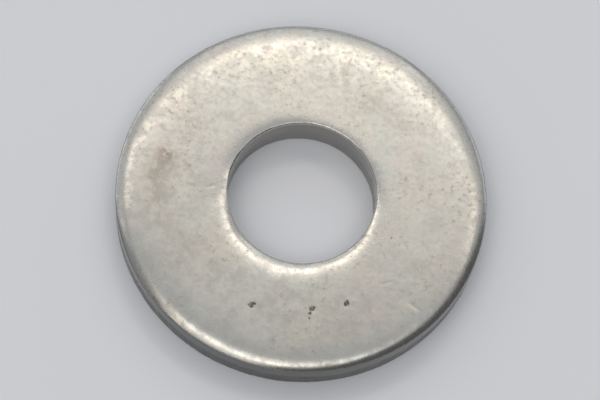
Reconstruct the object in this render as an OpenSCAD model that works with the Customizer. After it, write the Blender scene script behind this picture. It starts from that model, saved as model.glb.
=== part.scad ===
// Thick flat washer, stamped from steel strip.
// One blow of the press cuts both edges, so both top edges are drawn down into a soft
// roll and both bottom edges are cut square. +Z points up through the bore, and the
// origin is the middle of the bottom face.

/* [Plate] */
// Diameter over the outer edge
outer_d = 16; // [14:0.1:24]
// Diameter of the bore, a clearance hole for the screw
bore_d = 6.4; // [5:0.1:8]
// Thickness of the strip
plate_t = 1.8; // [1.5:0.05:4]

/* [Rolled top edges] */
// How far the outer roll reaches in from the outer edge
outer_roll_w = 0.85; // [0.5:0.05:1.2]
// How far the outer roll drops below the top face
outer_roll_h = 0.3; // [0.1:0.05:0.5]
// How far the bore's roll reaches out from the bore
bore_roll_w = 0.6; // [0.5:0.05:1.2]
// How far the bore's roll drops below the top face
bore_roll_h = 0.1; // [0.05:0.05:0.5]
// Radius that blends each roll into its wall
crease_r = 0.1; // [0.05:0.01:0.25]

/* [Cut bottom edges] */
// Radius that tumbling leaves on the bottom edges
burr_r = 0.08; // [0.03:0.01:0.2]

/* [Hidden] */
$fn = 180;
outer_r = outer_d / 2;
bore_r = bore_d / 2;
// Cutters stand this far proud of the faces they cut
over = 0.5;

// Radius of the arc that is level at the top face and drops by h over a width w.
function roll_r(w, h) = (w * w + h * h) / (2 * h);

// How far the crease's centre lies above the roll's centre.
function crease_up(w, h) = sqrt(pow(roll_r(w, h) - crease_r, 2) - pow(w - crease_r, 2));

// What a roll takes off a top corner at [0, 0], with the wall below it and the face to its left.
module roll_cutter(w, h) {
    r = roll_r(w, h);
    up = crease_up(w, h);
    crease = [-crease_r, up - r];
    // The crease meets the roll on the line through both their centres.
    outward = [w - crease_r, up] / (r - crease_r);
    difference() {
        translate([-w, -r])
            square([w + over, r + over]);
        translate([-w, -r])
            circle(r);
    }
    difference() {
        polygon([
            crease,
            crease + over * outward,
            crease + over * (outward + [1, 0]),
            crease + over * [1, 0]
        ]);
        translate(crease)
            circle(crease_r);
    }
}

// What tumbling takes off a bottom corner at [0, 0], with the wall above it and the face to its left.
module burr_cutter() {
    difference() {
        translate([-burr_r, -over])
            square([burr_r + over, burr_r + over]);
        translate([-burr_r, burr_r])
            circle(burr_r);
    }
}

// Half of the washer's cross-section, right of the axis.
module cross_section() {
    difference() {
        translate([bore_r, 0])
            square([outer_r - bore_r, plate_t]);
        translate([outer_r, plate_t])
            roll_cutter(outer_roll_w, outer_roll_h);
        translate([bore_r, plate_t])
            mirror([1, 0])
                roll_cutter(bore_roll_w, bore_roll_h);
        translate([outer_r, 0])
            burr_cutter();
        translate([bore_r, 0])
            mirror([1, 0])
                burr_cutter();
    }
}

module washer() {
    color("silver")
        rotate_extrude()
            cross_section();
}

washer();
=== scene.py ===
"""A thick flat washer, stamped from stainless strip and tumbled, lying on pale paper.

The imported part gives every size. This script replaces its one plain node with a ring whose rolled
edges, sheared walls, dings, pits and scratches are real geometry, and gives it a tumbled steel finish.
Lengths are in millimetres until a mesh is made, where MM turns them into metres.
"""

import math

import bpy
import numpy as np
from mathutils import Matrix, Vector, noise


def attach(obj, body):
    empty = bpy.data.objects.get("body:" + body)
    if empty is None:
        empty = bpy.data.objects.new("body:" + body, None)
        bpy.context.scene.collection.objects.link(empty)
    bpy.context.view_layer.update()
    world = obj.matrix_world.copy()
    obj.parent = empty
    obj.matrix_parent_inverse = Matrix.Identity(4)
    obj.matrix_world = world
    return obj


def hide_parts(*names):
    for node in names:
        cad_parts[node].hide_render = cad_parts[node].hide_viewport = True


MM = 0.001
SEED = 7

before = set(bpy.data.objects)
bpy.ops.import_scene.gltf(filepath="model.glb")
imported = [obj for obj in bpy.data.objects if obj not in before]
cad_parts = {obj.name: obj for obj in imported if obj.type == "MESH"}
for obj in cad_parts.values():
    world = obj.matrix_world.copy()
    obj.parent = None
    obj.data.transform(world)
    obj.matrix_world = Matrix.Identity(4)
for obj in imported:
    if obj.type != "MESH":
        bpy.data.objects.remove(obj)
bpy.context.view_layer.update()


# ---------------------------------------------------------------- sizes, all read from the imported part


AT_WALL = 0.002  # points this close to a wall's radius count as on it


def cad_sizes():
    """The washer's radii and heights, measured on the CAD node's own mesh."""
    points = np.array([v.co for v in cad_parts["washer"].data.vertices], float) / MM
    radius = np.hypot(points[:, 0], points[:, 1])
    height = points[:, 2]
    outer, bore = radius.max(), radius.min()
    outer_wall = height[radius > outer - AT_WALL]
    bore_wall = height[radius < bore + AT_WALL]
    return {
        "outer": outer,
        "bore": bore,
        "top": height.max(),
        "outer_crease": outer_wall.max(),
        "bore_crease": bore_wall.max(),
        "burr": outer_wall.min(),
    }


size = cad_sizes()


# ---------------------------------------------------------------- the ring's grid

COLUMNS = 640  # around the ring

# Columns and rows crowd together round the pits, and rows at both edges too. A crowding of 1 doubles them.
PIT_BEARING, PIT_SPREAD, PIT_CROWDING = 278, 32, 1.6  # degrees
PIT_RING, PIT_RING_SPREAD, PIT_RING_CROWDING = 5.45, 0.35, 1.9
OUTER_SPREAD, OUTER_CROWDING = 0.50, 1.2
BORE_SPREAD, BORE_CROWDING = 0.35, 1.6
FINE_BEARINGS = 7201  # samples used to find the crowded places
FINE_RADII = 2000


def crowded(places, density, wanted_shares):
    """The places that split the density into the wanted shares of its whole."""
    travelled = np.concatenate([[0], np.cumsum((density[1:] + density[:-1]) / 2)])
    return np.interp(wanted_shares * travelled[-1], travelled, places)


def bearings():
    """Column angles in radians, closer together in the sector that holds the pits."""
    fine = np.linspace(0, 360, FINE_BEARINGS)
    away = (fine - PIT_BEARING + 180) % 360 - 180
    density = 1 + PIT_CROWDING * np.exp(-((away / PIT_SPREAD) ** 2))
    return np.radians(crowded(fine, density, np.arange(COLUMNS) / COLUMNS))


def waves(theta, terms):
    """A slow wander round the ring: each term is (cycles, size, phase in degrees)."""
    return sum(a * np.sin(n * theta + math.radians(p)) for n, a, p in terms)


# The press draws each top edge down, steeply at the cut and ever more gently away from it. A roll's reach
# is the distance over which its slope falls to about a third.
OUTER_REACH = 0.41
BORE_REACH = 0.235
BORE_LOOSE = 250  # bearing where the punch had most clearance, so that the bore's roll is largest there
# The bore roll's drop as a share of the CAD roll's, and its reach as a share of BORE_REACH: mean and swing.
BORE_DROP_SHARE, BORE_DROP_SWING = 0.86, 0.72
BORE_REACH_SHARE, BORE_REACH_SWING = 0.93, 0.41
CREASE_R = 0.08  # what tumbling leaves where a roll meets its wall
CREASE_DROP = 0.05  # how far the crease itself takes the edge down
CUP = 0.04  # how far the outer edge lies below the bore's, from the blow of the press

# How each of these wanders round the ring: (cycles, size, phase in degrees).
OUTER_DROP_WAVES = [(2, 0.015, 40), (5, 0.010, 10), (11, 0.005, 200)]
OUTER_REACH_WAVES = [(1, 0.15, 350), (2, 0.04, 310), (3, 0.02, 150), (8, 0.01, 30)]
BORE_DROP_WAVES = [(3, 0.005, 80), (7, 0.004, 0), (13, 0.003, 90)]
BORE_REACH_WAVES = [(6, 0.008, 20), (15, 0.004, 70)]
CREASE_WAVES = [(9, 0.010, 0), (23, 0.008, 60)]
CUP_WAVES = [(2, 0.018, 180)]

TOP_ROWS = 94
WALL_ROWS = 14
CREASE_ROWS = 4
SHINY_CREASE_ROWS = 1  # of the outer crease's rows, those left above the wall's painted shade; the lower ones take it too
EDGE_ROWS = 3
BOTTOM_ROWS = 14
FACE, OUTER_WALL, BORE_WALL = 0, 1, 2  # which surface a row belongs to; the bottom counts as face


def rolls(theta):
    """Drop and reach of the outer roll, then of the bore's, and the cup, at each angle round the ring."""
    outer_drop = size["top"] - size["outer_crease"] - CREASE_DROP
    outer_drop = outer_drop + waves(theta, OUTER_DROP_WAVES)
    outer_reach = OUTER_REACH + waves(theta, OUTER_REACH_WAVES)
    loose = np.cos(theta - math.radians(BORE_LOOSE))
    bore_drop = size["top"] - size["bore_crease"] - CREASE_DROP
    bore_drop = bore_drop * (BORE_DROP_SHARE + BORE_DROP_SWING * loose) + waves(theta, BORE_DROP_WAVES)
    bore_reach = BORE_REACH * (BORE_REACH_SHARE + BORE_REACH_SWING * loose) + waves(theta, BORE_REACH_WAVES)
    cup = CUP + waves(theta, CUP_WAVES)
    return outer_drop, outer_reach, bore_drop, bore_reach, cup


def top_height(r, edges):
    """Height of the top surface: level in the middle, drawn down towards both cut edges."""
    outer_drop, outer_reach, bore_drop, bore_reach, cup = edges
    from_outer = size["outer"] - r
    from_bore = r - size["bore"]
    return (
        size["top"]
        - outer_drop * np.exp(-from_outer / outer_reach)
        - bore_drop * np.exp(-from_bore / bore_reach)
        - cup * (from_bore / (size["outer"] - size["bore"])) ** 2
    )


def face_shares():
    """Row places across the top as shares of its width, crowded on both rolls and round the pits."""
    r = np.linspace(size["bore"], size["outer"], FINE_RADII)
    density = (
        1
        + PIT_RING_CROWDING * np.exp(-(((r - PIT_RING) / PIT_RING_SPREAD) ** 2))
        + OUTER_CROWDING * np.exp(-(size["outer"] - r) / OUTER_SPREAD)
        + BORE_CROWDING * np.exp(-(r - size["bore"]) / BORE_SPREAD)
    )
    return (crowded(r, density, np.linspace(0, 1, TOP_ROWS + 1)) - r[0]) / (r[-1] - r[0])


def cross_section(theta):
    """The closed outline of the ring at every column: radius, height and the surface of each point.

    Each stretch runs from share 0 to 1 and leaves its last point to the next stretch."""
    outer, bore, burr = size["outer"], size["bore"], size["burr"]
    edges = rolls(theta)
    outer_lean, bore_lean = np.arctan(edges[0] / edges[1]), np.arctan(edges[2] / edges[3])
    crease = CREASE_R + waves(theta, CREASE_WAVES)
    outer_in = outer - crease * (1 - np.sin(outer_lean))
    bore_in = bore + crease * (1 - np.sin(bore_lean))
    outer_z = top_height(outer_in, edges) - crease * np.cos(outer_lean)
    bore_z = top_height(bore_in, edges) - crease * np.cos(bore_lean)
    square = math.pi / 2
    rows = []

    def stretch(shares, path, surface):
        for share in shares[:-1]:
            r, z = path(share)
            rows.append(np.broadcast_arrays(r, z, np.full_like(theta, surface)))

    def even(count):
        return np.linspace(0, 1, count + 1)

    def bore_crease(s):
        lean = square + s * (bore_lean - square)
        return bore + crease * (1 - np.sin(lean)), bore_z + crease * np.cos(lean)

    def top(s):
        r = bore_in + s * (outer_in - bore_in)
        return r, top_height(r, edges)

    def outer_crease(s):
        lean = outer_lean + s * (square - outer_lean)
        return outer - crease * (1 - np.sin(lean)), outer_z + crease * np.cos(lean)

    def outer_burr(s):
        return outer - burr * (1 - math.cos(s * square)), burr * (1 - math.sin(s * square))

    def bore_burr(s):
        return bore + burr * (1 - math.sin(s * square)), burr * (1 - math.cos(s * square))

    stretch(even(WALL_ROWS), lambda s: (bore, burr + s * (bore_z - burr)), BORE_WALL)
    stretch(even(CREASE_ROWS), bore_crease, FACE)
    stretch(face_shares(), top, FACE)
    stretch(even(CREASE_ROWS)[: SHINY_CREASE_ROWS + 1], outer_crease, FACE)
    # The outer crease's lower rows count as wall, so that they carry the wall's painted shade.
    stretch(even(CREASE_ROWS)[SHINY_CREASE_ROWS:], outer_crease, OUTER_WALL)
    stretch(even(WALL_ROWS), lambda s: (outer, outer_z - s * (outer_z - burr)), OUTER_WALL)
    stretch(even(EDGE_ROWS), outer_burr, OUTER_WALL)
    stretch(even(BOTTOM_ROWS), lambda s: (outer - burr - s * (outer - bore - 2 * burr), 0), FACE)
    stretch(even(EDGE_ROWS), bore_burr, BORE_WALL)
    return (np.stack([row[k] for row in rows], axis=1) for k in range(3))


def grid_normals(points):
    """Outward normals of a grid that closes on itself both ways."""
    around = np.roll(points, -1, axis=0) - np.roll(points, 1, axis=0)
    along = np.roll(points, -1, axis=1) - np.roll(points, 1, axis=1)
    normals = np.cross(along, around)
    return normals / np.linalg.norm(normals, axis=2, keepdims=True)


# ---------------------------------------------------------------- what the press and the tumbling left


LUMP_FADE, LUMP_STEP = 1.0, 2.1  # how fast finer octaves fade, and how much finer each one is


def lumps(points, wavelength, octaves, stretch=(1, 1, 1)):
    """Smooth noise of about -1 to 1 at each point; stretch lengthens it along an axis."""
    scale = Vector([1 / (wavelength * longer) for longer in stretch])
    shift = Vector((SEED, -SEED, 2 * SEED))
    flat = points.reshape(-1, 3)
    values = [noise.fractal(Vector(p) * scale + shift, LUMP_FADE, LUMP_STEP, octaves) for p in flat]
    return np.array(values).reshape(points.shape[:2])


def on_top(bearing, radius):
    """Points of the top surface at bearings in degrees and radii."""
    angle, radius = np.radians(bearing), np.asarray(radius, float)
    height = top_height(radius, rolls(angle))
    return np.stack([radius * np.cos(angle), radius * np.sin(angle), height], axis=-1)


def on_bore_wall(bearing, height):
    """A point of the bore's wall at a bearing in degrees and a height."""
    angle = math.radians(bearing)
    return np.array([size["bore"] * math.cos(angle), size["bore"] * math.sin(angle), height])


DENT_SPAN = 3  # half widths from its middle at which a dent ends


def dents(points, centres, half_widths, depths):
    """How deep a set of round-bottomed dents goes at each point."""
    depth = np.zeros(points.shape[:2])
    for centre, half_width, deep in zip(centres, half_widths, depths):
        away = ((points - centre) ** 2).sum(axis=2) / half_width**2
        close = away < DENT_SPAN**2
        depth[close] += deep * np.exp(-away[close])
    return depth


def scratch(points, start, end, half_width, deep):
    """How deep one straight scratch goes at each point; it tapers to nothing at both ends."""
    run = end - start
    share = np.clip(((points - start) @ run) / (run @ run), 0, 1)
    away = np.linalg.norm(points - (start + share[..., None] * run), axis=2) / half_width
    return deep * np.sin(math.pi * share) ** 0.5 * np.exp(-(away**2))


# Pits with oxide in them: bearing, radius, half width, depth.
PITS = [
    (257.2, 5.60, 0.115, 0.012),
    (257.9, 5.50, 0.055, 0.008),
    (255.9, 5.66, 0.040, 0.004),
    (283.9, 5.31, 0.125, 0.011),
    (284.6, 5.22, 0.045, 0.005),
    (282.9, 5.50, 0.070, 0.006),
    (282.4, 5.70, 0.070, 0.005),
    (288.8, 5.12, 0.040, 0.004),
    (290.5, 5.02, 0.035, 0.003),
    (300.0, 5.38, 0.110, 0.012),
    (300.7, 5.28, 0.050, 0.006),
    (298.6, 5.05, 0.035, 0.004),
    (308.1, 3.95, 0.050, 0.004),
    (301.1, 3.66, 0.045, 0.004),
    (340.1, 4.73, 0.055, 0.006),
    (341.7, 4.32, 0.050, 0.006),
    (330.7, 4.46, 0.045, 0.004),
    (329.9, 4.62, 0.040, 0.004),
    (240.0, 7.55, 0.045, 0.004),
]
PIT_BLACK = 0.005  # depth from which a pit is filled with oxide

# A dark speck on the bore's wall: bearing, height, half width, depth.
WALL_SPECK = (26, 1.0, 0.10, 0.009)

# Faint stains: bearing, radius, half width, strength.
STAINS = [
    (174, 6.1, 0.34, 1.00),
    (178, 6.1, 0.60, 0.45),
    (184, 6.4, 0.50, 0.45),
    (192, 6.2, 0.60, 0.45),
    (205, 6.0, 0.70, 0.30),
    (220, 6.1, 0.80, 0.25),
    (154, 6.0, 0.60, 0.25),
    (97, 6.3, 0.50, 0.35),
    (84, 5.9, 0.70, 0.35),
    (64, 5.2, 0.70, 0.35),
    (50, 5.6, 0.60, 0.20),
    (335, 6.0, 0.40, 0.35),
    (297, 6.4, 0.80, 0.30),
    (310, 5.9, 0.70, 0.20),
]

# Longer scratches: bearing and radius of both ends, depth.
SCRATCH_HALF_WIDTH = 0.05
SCRATCHES = [
    ((322.0, 6.62), (323.1, 7.28), 0.010),
    ((317.9, 5.30), (324.0, 5.55), 0.006),
    ((322.4, 6.01), (323.6, 6.31), 0.005),
    ((346.6, 6.10), (350.0, 6.28), 0.006),
    ((186.0, 3.70), (188.5, 4.10), 0.006),
]

# Dents at random places: how many, then the least and most bearing, radius, half width and depth.
DENT_BATCHES = [
    # dings all over the face
    (700, (0, 360), (size["bore"] + 0.6, size["outer"] - 0.6), (0.08, 0.20), (0.0002, 0.0009)),
    # dings along the near half of both edges
    (150, (185, 335), (size["outer"] - 0.9, size["outer"]), (0.08, 0.18), (0.0003, 0.0014)),
    (150, (185, 335), (size["bore"], size["bore"] + 0.7), (0.06, 0.12), (0.0002, 0.0010)),
    # nicks in the bore's rim, from its far side round to its left
    (45, (75, 185), (size["bore"], size["bore"] + 0.06), (0.025, 0.050), (0.002, 0.006)),
]

# Fine scratches at random places: how many, how far they keep from the edges, half width, and the least
# and most length and depth.
FINE_SCRATCHES = 110
FINE_FROM_BORE, FINE_FROM_OUTER = 0.5, 0.8
FINE_HALF_WIDTH = 0.035
FINE_LENGTH = (0.25, 0.9)
FINE_DEPTH = (0.0005, 0.0018)


def random_dents(points, rng, count, bearing, radius, half_width, depth):
    """Dents spread evenly over a part of the top surface; each range is (least, most)."""
    angles = rng.uniform(*bearing, count)
    radii = np.sqrt(rng.uniform(radius[0] ** 2, radius[1] ** 2, count))
    return dents(points, on_top(angles, radii), rng.uniform(*half_width, count), rng.uniform(*depth, count))


def handling_marks(points):
    """Depth at each point of the dings, nicks and scratches that tumbling and handling left."""
    rng = np.random.default_rng(SEED)
    bore, outer = size["bore"], size["outer"]
    depth = np.zeros(points.shape[:2])
    for batch in DENT_BATCHES:
        depth += random_dents(points, rng, *batch)
    for _ in range(FINE_SCRATCHES):
        start = on_top(rng.uniform(0, 360), rng.uniform(bore + FINE_FROM_BORE, outer - FINE_FROM_OUTER))
        heading = rng.uniform(0, 2 * math.pi)
        run = rng.uniform(*FINE_LENGTH) * np.array([math.cos(heading), math.sin(heading), 0])
        depth += scratch(points, start, start + run, FINE_HALF_WIDTH, rng.uniform(*FINE_DEPTH))
    for start, end, deep in SCRATCHES:
        depth += scratch(points, on_top(*start), on_top(*end), SCRATCH_HALF_WIDTH, deep)
    return depth


# The mottling is strongest at one side of the ring: where, how strong on average, and how much more there.
MOTTLE_BEARING = 245
MOTTLE_SHARE, MOTTLE_SWING = 0.70, 0.30

EDGE_POLISH = 0.5  # distance over which the polish that tumbling gives an edge fades

TORN_SHARE = 0.6  # of the wall's height, up from the bottom
TORN_WANDER = 0.12  # how far the torn part's upper edge strays
TORN_BLEND = 0.12  # height over which it turns into the burnished band
TORN_DEPTH = 0.008  # how far the torn part lies behind the burnished band

# Lumps of each surface: height, wavelength, octaves and stretch.
FACE_SWELL = (0.0006, 0.9, 1)
FACE_GRAIN = (0.0005, 0.4, 2)
WALL_STREAKS = (0.002, 0.2, 2, (1, 1, 8))
TORN_GRAIN = (0.007, 0.3, 2, (1, 1, 2))
TORN_EDGE = (TORN_WANDER, 0.7, 3, (1, 1, 5))


def relief_of(points, height, *kind):
    """Height that one kind of lumps adds at each point."""
    return height * lumps(points, *kind)


def torn_share(points):
    """1 on the torn lower part of a sheared wall, 0 on the burnished band above it, ragged between."""
    edge = TORN_SHARE * size["outer_crease"] + relief_of(points, *TORN_EDGE)
    return np.clip((edge - points[..., 2]) / TORN_BLEND + 0.5, 0, 1)


# ---------------------------------------------------------------- the washer's mesh


def build_washer():
    """The whole ring as one closed mesh of quads, with its masks as attributes."""
    theta = bearings()
    r, z, surface = cross_section(theta)
    angle = theta[:, None]
    points = np.stack([r * np.cos(angle), r * np.sin(angle), z], axis=2)
    normals = grid_normals(points)
    wall = (surface != FACE).astype(float)

    torn = wall * torn_share(points)
    pit = dents(points, on_top(*np.transpose(PITS)[:2]), *np.transpose(PITS)[2:])
    pit += dents(points, [on_bore_wall(*WALL_SPECK[:2])], WALL_SPECK[2:3], WALL_SPECK[3:])
    stain = dents(points, on_top(*np.transpose(STAINS)[:2]), *np.transpose(STAINS)[2:])
    relief = (1 - wall) * (relief_of(points, *FACE_SWELL) + relief_of(points, *FACE_GRAIN))
    relief += wall * relief_of(points, *WALL_STREAKS)
    relief += torn * (relief_of(points, *TORN_GRAIN) - TORN_DEPTH)
    relief -= pit + handling_marks(points)
    points = points + normals * relief[..., None]

    points[..., :2] *= size["outer"] / np.hypot(points[..., 0], points[..., 1]).max()
    points[..., 2] = np.maximum(points[..., 2], 0) * size["top"] / points[..., 2].max()

    columns, rows = r.shape
    column, row = np.meshgrid(np.arange(columns), np.arange(rows), indexing="ij")
    next_column, next_row = (column + 1) % columns, (row + 1) % rows
    corners = (column, row), (next_column, row), (next_column, next_row), (column, next_row)
    faces = np.stack([c * rows + k for c, k in corners], axis=2).reshape(-1, 4)

    mesh = bpy.data.meshes.new("stamped_washer")
    mesh.from_pydata((points.reshape(-1, 3) * MM).tolist(), [], faces.tolist())
    mesh.validate()
    mesh.polygons.foreach_set("use_smooth", [True] * len(mesh.polygons))
    edges = np.exp(-(size["outer"] - r) / EDGE_POLISH) + np.exp(-(r - size["bore"]) / EDGE_POLISH)
    mottled = MOTTLE_SHARE + MOTTLE_SWING * np.cos(angle - math.radians(MOTTLE_BEARING))
    masks = {
        "edge": edges * (z > size["top"] / 2),
        # also marks where the wall's painted shade goes
        "outer_wall": surface == OUTER_WALL,
        "bore_wall": surface == BORE_WALL,
        "torn": torn,
        "pit": np.clip(pit / PIT_BLACK, 0, 1),
        "stain": np.clip(stain, 0, 1),
        "mottled": np.broadcast_to(mottled, r.shape),
    }
    for name, values in masks.items():
        attribute = mesh.attributes.new(name, "FLOAT", "POINT")
        attribute.data.foreach_set("value", values.ravel().astype(np.float32))
    washer = bpy.data.objects.new("stamped_washer", mesh)
    bpy.context.scene.collection.objects.link(washer)
    return washer


# ---------------------------------------------------------------- materials

STEEL_GREEN = (0.608, 0.613, 0.578, 1)
STEEL_CREAM = (0.634, 0.613, 0.560, 1)
STEEL_PINK = (0.641, 0.586, 0.558, 1)
STEEL_GREY = (0.457, 0.453, 0.430, 1)
STEEL_BRIGHT = (0.670, 0.661, 0.638, 1)
FLECK = (0.360, 0.335, 0.290, 1)
STAIN = (0.340, 0.290, 0.255, 1)
OXIDE = (0.130, 0.116, 0.082, 1)
BORE_HIGH = (0.385, 0.350, 0.325, 1)
BORE_LOW = (0.365, 0.365, 0.350, 1)
# Painted shade: the outer wall's colours are far darker than its steel, standing in for the floor's contact
# shadow seen in it
SHADED_WALL_HIGH = (0.200, 0.200, 0.192, 1)
SHADED_WALL_LOW = (0.165, 0.164, 0.158, 1)
PAPER = (0.828, 0.856, 0.921, 1)

# Patterns in the steel's colour: scale per millimetre, detail, roughness and turn of the noise, then the
# noise values at which the pattern starts and is full.
PATTERNS = {
    "cream": (0.45, 4.0, 0.60, 0.0, 0.42, 0.62),
    "pink": (0.70, 4.0, 0.65, 1.0, 0.48, 0.68),
    "mottle": (2.00, 4.0, 0.68, 0.0, 0.36, 0.66),
    "speck": (4.50, 3.0, 0.60, 0.0, 0.35, 0.70),
    "flecks": (4.50, 3.0, 0.60, 0.0, 0.52, 0.74),
    "patchy": (3.20, 4.0, 0.70, 0.0, 0.32, 0.58),
}
PINK_STRENGTH, SPECK_STRENGTH, BRIGHT_STRENGTH = 0.85, 0.25, 0.50
FLECKED = (0.5, 2.0, 0.5)  # noise that says where flecks gather
FLECKED_RAMP = (0.40, 0.62, 0.15, 0.75)  # its least and most value, and the flecks' strength at each
RAGGED = (9.0, 3.0, 0.65)  # noise that frays the edges of the pits
RAGGED_RAMP = (0.3, 0.7, -0.45, 0.45)
PIT_RAMP = (0.24, 1.40)  # frayed depth at which a pit's oxide starts and is full

# Roughness: of clean and of mottled steel, how speckling changes it, and what each mask adds to it.
ROUGH_CLEAN, ROUGH_MOTTLED = 0.31, 0.37
ROUGH_SPECK = (-0.02, 0.03)
ROUGHER = {"edge": -0.13, "outer_wall": -0.10, "torn": 0.06}
PIT_ROUGHER = 0.4

DIMPLE_DEPTH = 0.0024  # of the finest unevenness, too small for the mesh
DIMPLES = (4.5, 0.6, 0.4)
DIMPLES_AT_EDGES = 0.4  # what the polish at the edges leaves of them
STREAKS = (9.0, 2.0, 0.6, (1, 1, 0.1))  # upright streaks on the walls


class Nodes:
    """A short way to write a node tree."""

    def __init__(self, name):
        self.material = bpy.data.materials.new(name)
        self.material.use_nodes = True
        self.tree = self.material.node_tree
        self.tree.nodes.clear()

    def add(self, kind, inputs=(), **settings):
        """A node of one kind; an input is either another node's output or a constant."""
        node = self.tree.nodes.new(kind)
        for key, value in settings.items():
            setattr(node, key, value)
        for key, value in dict(inputs).items():
            if isinstance(value, bpy.types.NodeSocket):
                self.tree.links.new(value, node.inputs[key])
            else:
                node.inputs[key].default_value = value
        return node

    def math(self, operation, a, b):
        return self.add("ShaderNodeMath", {0: a, 1: b}, operation=operation).outputs[0]

    def mix(self, share, a, b):
        """Colour a where share is 0, and b where it is 1."""
        return self.add("ShaderNodeMix", {0: share, 6: a, 7: b}, data_type="RGBA").outputs[2]

    def ramp(self, value, low, high, out_low=0.0, out_high=1.0):
        """A smooth step from out_low to out_high as value goes from low to high."""
        inputs = {0: value, 1: low, 2: high, 3: out_low, 4: out_high}
        return self.add("ShaderNodeMapRange", inputs, interpolation_type="SMOOTHSTEP").outputs[0]

    def noise(self, where, scale, detail, rough, stretch=(1, 1, 1), turn=0.0):
        """Noise of 0 to 1; stretch scales its axes, and turn rotates it about Z in radians."""
        mapping = {"Vector": where, "Rotation": (0, 0, turn), "Scale": stretch}
        mapped = self.add("ShaderNodeMapping", mapping)
        inputs = {"Vector": mapped.outputs[0], "Scale": scale, "Detail": detail, "Roughness": rough}
        return self.add("ShaderNodeTexNoise", inputs).outputs[0]


def steel_material():
    """Tumbled stainless: warm grey, blotched and dimpled, with dark sheared walls and oxide in the pits.
    Most of the outer wall's darkness is painted shade.
    """
    n = Nodes("tumbled_steel")
    coords = n.add("ShaderNodeTexCoord").outputs["Object"]
    where = n.add("ShaderNodeVectorMath", {0: coords, "Scale": 1 / MM}, operation="SCALE").outputs[0]
    mask = {
        name: n.add("ShaderNodeAttribute", attribute_name=name).outputs["Fac"]
        for name in ("edge", "outer_wall", "bore_wall", "torn", "pit", "stain", "mottled")
    }

    pattern = {
        name: n.ramp(n.noise(where, scale, detail, rough, turn=turn), low, high)
        for name, (scale, detail, rough, turn, low, high) in PATTERNS.items()
    }
    flecked = n.ramp(n.noise(where, *FLECKED), *FLECKED_RAMP)

    colour = n.mix(pattern["cream"], STEEL_GREEN, STEEL_CREAM)
    colour = n.mix(n.math("MULTIPLY", pattern["pink"], PINK_STRENGTH), colour, STEEL_PINK)
    colour = n.mix(n.math("MULTIPLY", pattern["mottle"], mask["mottled"]), colour, STEEL_GREY)
    colour = n.mix(n.math("MULTIPLY", pattern["speck"], SPECK_STRENGTH), colour, STEEL_GREY)
    colour = n.mix(n.math("MULTIPLY", mask["edge"], BRIGHT_STRENGTH), colour, STEEL_BRIGHT)
    colour = n.mix(n.math("MULTIPLY", pattern["flecks"], flecked), colour, FLECK)
    colour = n.mix(n.math("MULTIPLY", mask["stain"], pattern["patchy"]), colour, STAIN)

    burnished = n.mix(pattern["mottle"], BORE_HIGH, BORE_LOW)
    colour = n.mix(mask["bore_wall"], colour, n.mix(mask["torn"], burnished, BORE_LOW))
    # Painted shade: the outer wall and the outer crease's lower rows take the darkened wall colours
    colour = n.mix(mask["outer_wall"], colour, n.mix(mask["torn"], SHADED_WALL_HIGH, SHADED_WALL_LOW))
    ragged = n.math("ADD", mask["pit"], n.ramp(n.noise(where, *RAGGED), *RAGGED_RAMP))
    pit = n.ramp(ragged, *PIT_RAMP)
    colour = n.mix(pit, colour, OXIDE)

    rough = n.ramp(pattern["mottle"], 0, 1, ROUGH_CLEAN, ROUGH_MOTTLED)
    rough = n.math("ADD", rough, n.ramp(pattern["speck"], 0, 1, *ROUGH_SPECK))
    for name, more in ROUGHER.items():
        rough = n.math("ADD", rough, n.math("MULTIPLY", mask[name], more))
    rough = n.math("ADD", rough, n.math("MULTIPLY", pit, PIT_ROUGHER))

    dimple = n.math("MULTIPLY", n.noise(where, *DIMPLES), n.ramp(mask["edge"], 0, 1, 1.0, DIMPLES_AT_EDGES))
    streak = n.noise(where, *STREAKS)
    height = n.add("ShaderNodeMix", {0: mask["outer_wall"], 2: dimple, 3: streak}).outputs[0]
    height = n.add("ShaderNodeMix", {0: mask["bore_wall"], 2: height, 3: streak}).outputs[0]
    bump = n.add("ShaderNodeBump", {"Strength": 1.0, "Distance": DIMPLE_DEPTH * MM, "Height": height})
    shader = n.add("ShaderNodeBsdfPrincipled", {
        "Base Color": colour,
        "Metallic": 1.0,
        "Roughness": rough,
        "Normal": bump.outputs[0],
    })
    n.add("ShaderNodeOutputMaterial", {"Surface": shader.outputs[0]})
    return n.material


def paper_material():
    """Pale, slightly cool paper."""
    n = Nodes("pale_paper")
    look = {"Base Color": PAPER, "Roughness": 0.9, "Specular IOR Level": 0.2}
    shader = n.add("ShaderNodeBsdfPrincipled", look)
    n.add("ShaderNodeOutputMaterial", {"Surface": shader.outputs[0]})
    return n.material


# ---------------------------------------------------------------- stage, lights and camera

STAGE_RADIUS = 900
STAGE_SIDES = 96
PAPER_DROP = 0.002  # below the washer's bottom, so that the two faces don't coincide
BACKDROP_HEIGHT = 900
BACKDROP_FOOT = -50
BACKDROP = (0.64, 0.65, 0.69, 1)


def stage_rim():
    """Points round the edge of the stage, in metres."""
    around = np.linspace(0, 2 * math.pi, STAGE_SIDES, endpoint=False)
    return [(STAGE_RADIUS * MM * math.cos(a), STAGE_RADIUS * MM * math.sin(a)) for a in around]


def add_floor():
    """A round sheet of paper far wider than the view."""
    mesh = bpy.data.meshes.new("paper")
    mesh.from_pydata([(x, y, 0) for x, y in stage_rim()], [], [list(range(STAGE_SIDES))])
    floor = bpy.data.objects.new("paper", mesh)
    floor.location.z = -PAPER_DROP * MM
    floor.data.materials.append(paper_material())
    bpy.context.scene.collection.objects.link(floor)


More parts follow.
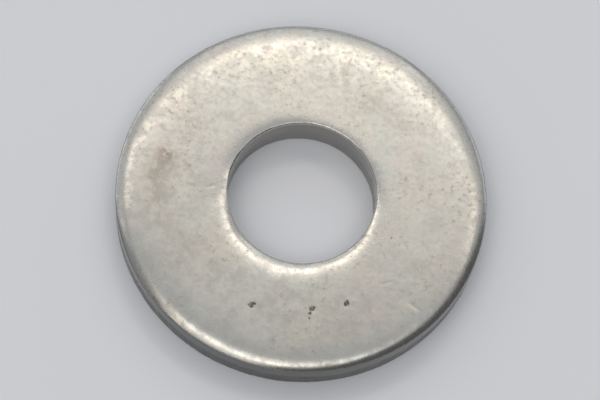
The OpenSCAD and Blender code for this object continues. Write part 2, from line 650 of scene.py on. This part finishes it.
def add_backdrop():
    """A pale backcloth that rises all round the paper, so that low views end in it; it casts no light."""
    mesh = bpy.data.meshes.new("backcloth")
    count = STAGE_SIDES
    corners = [(x, y, z * MM) for z in (BACKDROP_FOOT, BACKDROP_HEIGHT) for x, y in stage_rim()]
    sides = [(k, (k + 1) % count, (k + 1) % count + count, k + count) for k in range(count)]
    mesh.from_pydata(corners, [], sides)
    backdrop = bpy.data.objects.new("backcloth", mesh)
    n = Nodes("pale_backcloth")
    glow = n.add("ShaderNodeEmission", {"Color": BACKDROP, "Strength": 1.0})
    n.add("ShaderNodeOutputMaterial", {"Surface": glow.outputs[0]})
    mesh.materials.append(n.material)
    for ray in ("diffuse", "glossy", "transmission", "volume_scatter", "shadow"):
        setattr(backdrop, "visible_" + ray, False)
    bpy.context.scene.collection.objects.link(backdrop)


LIGHT_DISTANCE = 1200


def softbox(name, bearing, height, wide, tall, brightness, colour):
    """A soft panel that faces the washer; a brightness of 1 is that of a white card."""
    light = bpy.data.lights.new(name, "AREA")
    light.shape = "RECTANGLE"
    light.size = 2 * LIGHT_DISTANCE * MM * math.tan(math.radians(wide / 2))
    light.size_y = 2 * LIGHT_DISTANCE * MM * math.tan(math.radians(tall / 2))
    light.energy = brightness * math.pi * light.size * light.size_y
    light.color = colour
    lamp = bpy.data.objects.new(name, light)
    a, e = math.radians(bearing), math.radians(height)
    place = Vector((math.cos(a) * math.cos(e), math.sin(a) * math.cos(e), math.sin(e)))
    place = place * LIGHT_DISTANCE * MM
    lamp.matrix_world = Matrix.Translation(place) @ place.to_track_quat("Z", "Y").to_matrix().to_4x4()
    lamp.visible_camera = False
    bpy.context.scene.collection.objects.link(lamp)


SUNNY = (1.0, 0.922, 0.825)
WARM = (1.0, 0.938, 0.855)
PALE_SKY = (0.95, 0.98, 1.0)
COOL = (0.87, 0.94, 1.0)
WHITE = (1.0, 1.0, 1.0)

# Each panel: name, bearing, height above the floor, width and height in degrees, brightness, colour.
LIGHTS = [
    ("window_left", 114, 57, 44, 11, 2.15, SUNNY),
    ("window_right", 68, 57, 44, 11, 1.60, SUNNY),
    ("back_left", 148, 36, 48, 30, 0.50, WHITE),
    ("back", 95, 36, 42, 22, 0.78, WHITE),
    ("back_right", 50, 36, 42, 22, 0.45, WHITE),
    ("low_back_left", 150, 12, 44, 14, 1.00, COOL),
    ("low_back", 98, 12, 50, 14, 0.70, COOL),
    ("low_back_right", 48, 12, 44, 14, 0.75, COOL),
    ("left", 186, 38, 34, 46, 0.18, WHITE),
    ("front_left", 241, 50, 42, 36, 0.88, WARM),
    ("front_low", 240, 16, 70, 20, 0.34, WHITE),
    ("front", 268, 65, 52, 26, 0.75, WARM),
    ("right", 340, 62, 80, 20, 0.22, WHITE),
    ("ceiling", 300, 86, 60, 60, 0.42, PALE_SKY),
]
AMBIENT = (0.72, 0.73, 0.75, 1)
AMBIENT_STRENGTH = 0.15


def add_lights():
    """The softboxes, and a faint even light from everywhere else."""
    for name, bearing, height, wide, tall, brightness, colour in LIGHTS:
        softbox(name, bearing, height, wide, tall, brightness, colour)
    world = bpy.data.worlds.new("studio")
    world.use_nodes = True
    background = world.node_tree.nodes["Background"]
    background.inputs["Color"].default_value = AMBIENT
    background.inputs["Strength"].default_value = AMBIENT_STRENGTH
    bpy.context.scene.world = world


CAMERA_DISTANCE = 107.5  # from the middle of the bottom face
CAMERA_HEIGHT = 68.43  # degrees above the floor
CAMERA_AIM = (-0.038, 0, 0.797)
CAMERA_LEAN = 10.26  # degrees that the camera is turned about its own line of sight
CAMERA_LENS, CAMERA_SENSOR = 148.07, 36
CAMERA_NEAR, CAMERA_FAR = 1, 10000


def add_camera():
    """The camera at the photograph's viewing angle."""
    camera = bpy.data.objects.new("camera", bpy.data.cameras.new("camera"))
    camera.data.lens = CAMERA_LENS
    camera.data.sensor_width = CAMERA_SENSOR
    camera.data.clip_start = CAMERA_NEAR * MM
    camera.data.clip_end = CAMERA_FAR * MM
    rise = math.radians(CAMERA_HEIGHT)
    place = Vector((0, -math.cos(rise), math.sin(rise))) * CAMERA_DISTANCE * MM
    back = place - Vector(CAMERA_AIM) * MM
    turn = back.to_track_quat("Z", "Y").to_matrix().to_4x4()
    lean = Matrix.Rotation(math.radians(CAMERA_LEAN), 4, "Z")
    camera.matrix_world = Matrix.Translation(place) @ turn @ lean
    bpy.context.scene.collection.objects.link(camera)
    bpy.context.scene.camera = camera


washer = build_washer()
washer.data.materials.append(steel_material())
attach(washer, "root")
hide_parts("washer")
add_floor()
add_backdrop()
add_lights()
add_camera()
bpy.context.scene.view_settings.view_transform = "Standard"
